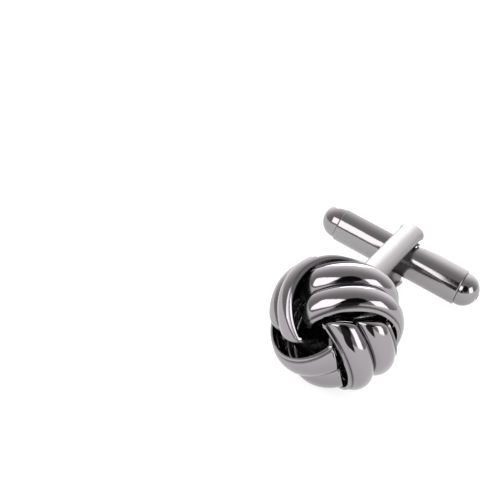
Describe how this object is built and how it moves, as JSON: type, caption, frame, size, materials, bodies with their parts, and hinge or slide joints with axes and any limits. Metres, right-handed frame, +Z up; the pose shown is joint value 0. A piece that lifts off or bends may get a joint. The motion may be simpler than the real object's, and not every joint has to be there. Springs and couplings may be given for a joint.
{
  "type": "knot cufflink",
  "caption": "Cufflink with a hollow woven knot of double-ridged bands, a U-shaped yoke and a domed bar that turns on a pin between its arms",
  "frame": {"origin": "on the table under the middle of the cufflink's outline, as it rests by itself on its knot and on the eye of its lower arm", "axes": "+Z up from the table, +X along the post towards the knot, +Y along the bar"},
  "size_m": [0.0316, 0.0198, 0.0145],
  "materials": {
    "knot_metal": "mirror-polished dark nickel plate over brass",
    "yoke_metal": "polished dark nickel plate over brass",
    "pin_metal": "turned steel pin",
    "bar_metal": "polished dark nickel plate over brass"
  },
  "bodies": {
    "body": {"band_1": "knot_metal", "band_2": "knot_metal", "band_3": "knot_metal", "band_4": "knot_metal", "yoke": "yoke_metal", "hinge_pin": "pin_metal"},
    "bar": {"bar_tube": "bar_metal", "bar_cap_1": "bar_metal", "bar_cap_2": "bar_metal"}
  },
  "joints": [
    {"name": "bar_turn", "type": "hinge", "parent": "body", "child": "bar", "pos_m": [-0.01345, 0, 0.00403], "axis": [-0.1311, 0.2059, 0.9698], "continuous": true}
  ]
}
